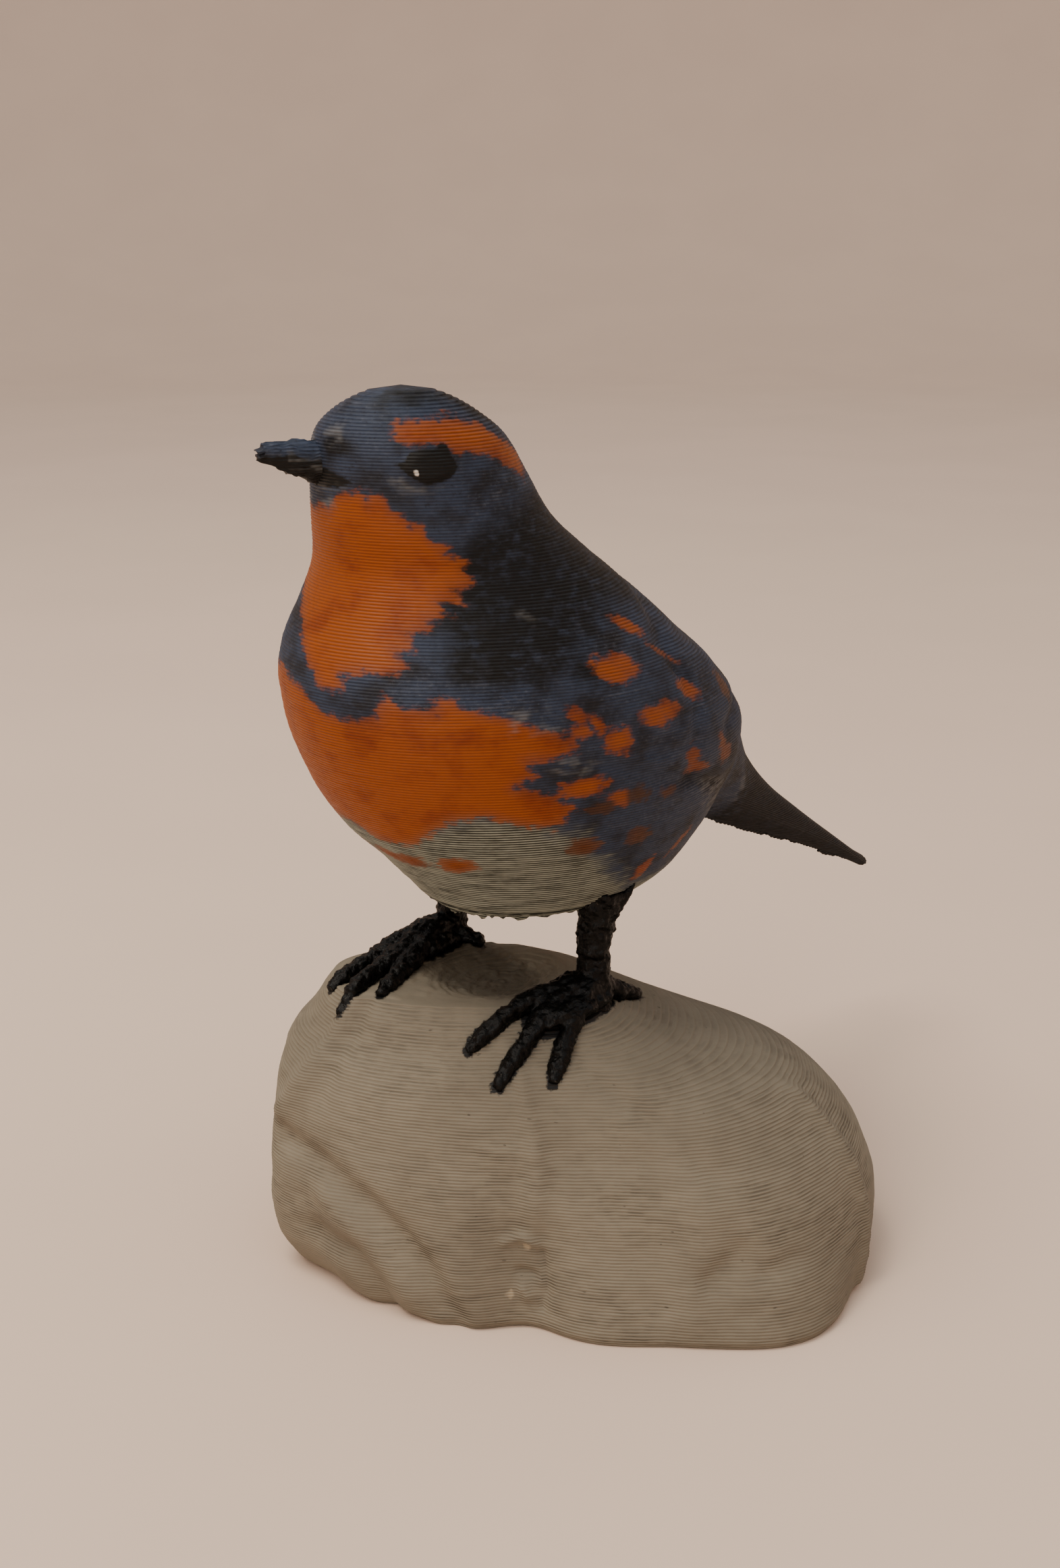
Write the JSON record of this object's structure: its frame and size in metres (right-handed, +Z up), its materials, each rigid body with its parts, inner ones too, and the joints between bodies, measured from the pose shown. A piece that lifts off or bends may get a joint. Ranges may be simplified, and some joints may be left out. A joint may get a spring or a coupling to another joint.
{
  "type": "bird sculpture",
  "caption": "Printed and hand-painted thrush standing on a rounded rock, made in one piece, with its head turned aside and its tail hanging behind.",
  "frame": {"origin": "middle of the bounding box's underside", "axes": "+Z up, the bird's body looks along -Y and its tail points along +Y, the bird's left is +X"},
  "size_m": [0.0646, 0.098, 0.0901],
  "materials": {
    "painted_print": "matte acrylic paint over a print with fine level layer lines: slate blue, black and orange on the bird, taupe on the rock"
  },
  "bodies": {
    "root": {"thrush_on_rock": "painted_print"}
  },
  "joints": []
}
